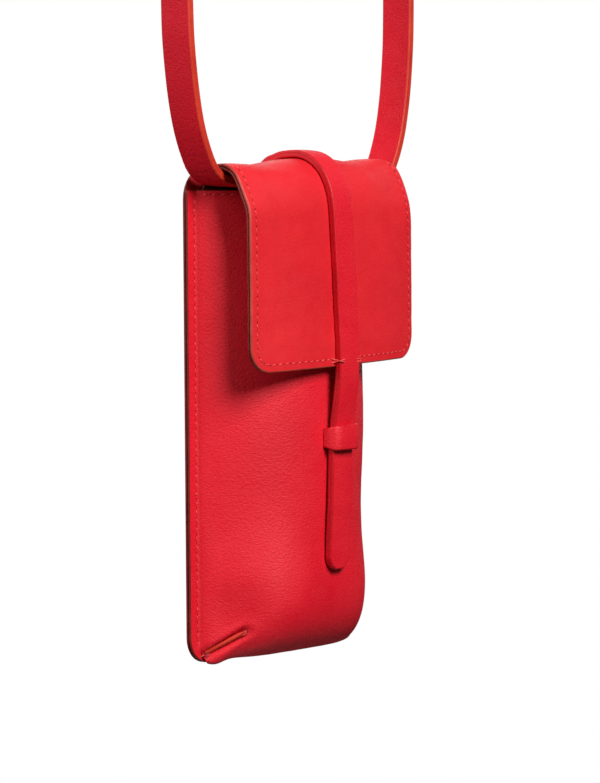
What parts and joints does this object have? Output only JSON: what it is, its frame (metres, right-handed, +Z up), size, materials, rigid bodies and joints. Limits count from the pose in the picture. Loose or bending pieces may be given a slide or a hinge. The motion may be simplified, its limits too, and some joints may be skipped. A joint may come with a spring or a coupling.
{
  "type": "phone wallet case",
  "caption": "Padded leather phone pouch with a fold-over flap, a tuck-in closure strap and a flat leather neck strap.",
  "frame": {"origin": "inside of the neck strap's top, where the neck or a hook carries it", "axes": "+Z up, X across the width with +X to the right of the front, front facing -Y"},
  "size_m": [0.1412, 0.0453, 0.545],
  "materials": {
    "leather": "bright red calf, semi-gloss, fine grain",
    "edge_paint": "orange-brown painted cut edge",
    "lining": "woven tan lining",
    "thread": "coral waxed thread",
    "board": "grey stiffening board"
  },
  "bodies": {
    "strap": {"neck_strap": "leather", "strap_seam_thread_left": "thread", "strap_seam_thread_right": "thread"},
    "pouch": {"back_panel": "leather", "back_stiffener": "board", "back_lining": "lining", "card_pocket": "leather", "front_panel": "leather", "front_lining": "lining", "dart_left": "edge_paint", "dart_left_stitch": "thread", "dart_right": "edge_paint", "dart_right_stitch": "thread", "body_seam_thread": "thread", "mouth_thread": "thread", "keeper_loop": "leather", "rear_tack_thread": "thread"},
    "flap": {"flap_outer": "leather", "flap_lining": "leather", "flap_thread_left": "thread", "flap_thread_right": "thread", "closure_strap": "leather", "bar_tack_left": "thread", "bar_tack_right": "thread"}
  },
  "joints": [
    {"name": "pouch_swing", "type": "hinge", "parent": "strap", "child": "pouch", "pos_m": [0, 0, -0.3578], "axis": [1, 0, 0], "range_deg": [-5, 5]},
    {"name": "flap_hinge", "type": "hinge", "parent": "pouch", "child": "flap", "pos_m": [0, 0.011, -0.352], "axis": [-1, 0, 0], "range_deg": [0, 150], "deforming": ["closure_strap"]}
  ]
}
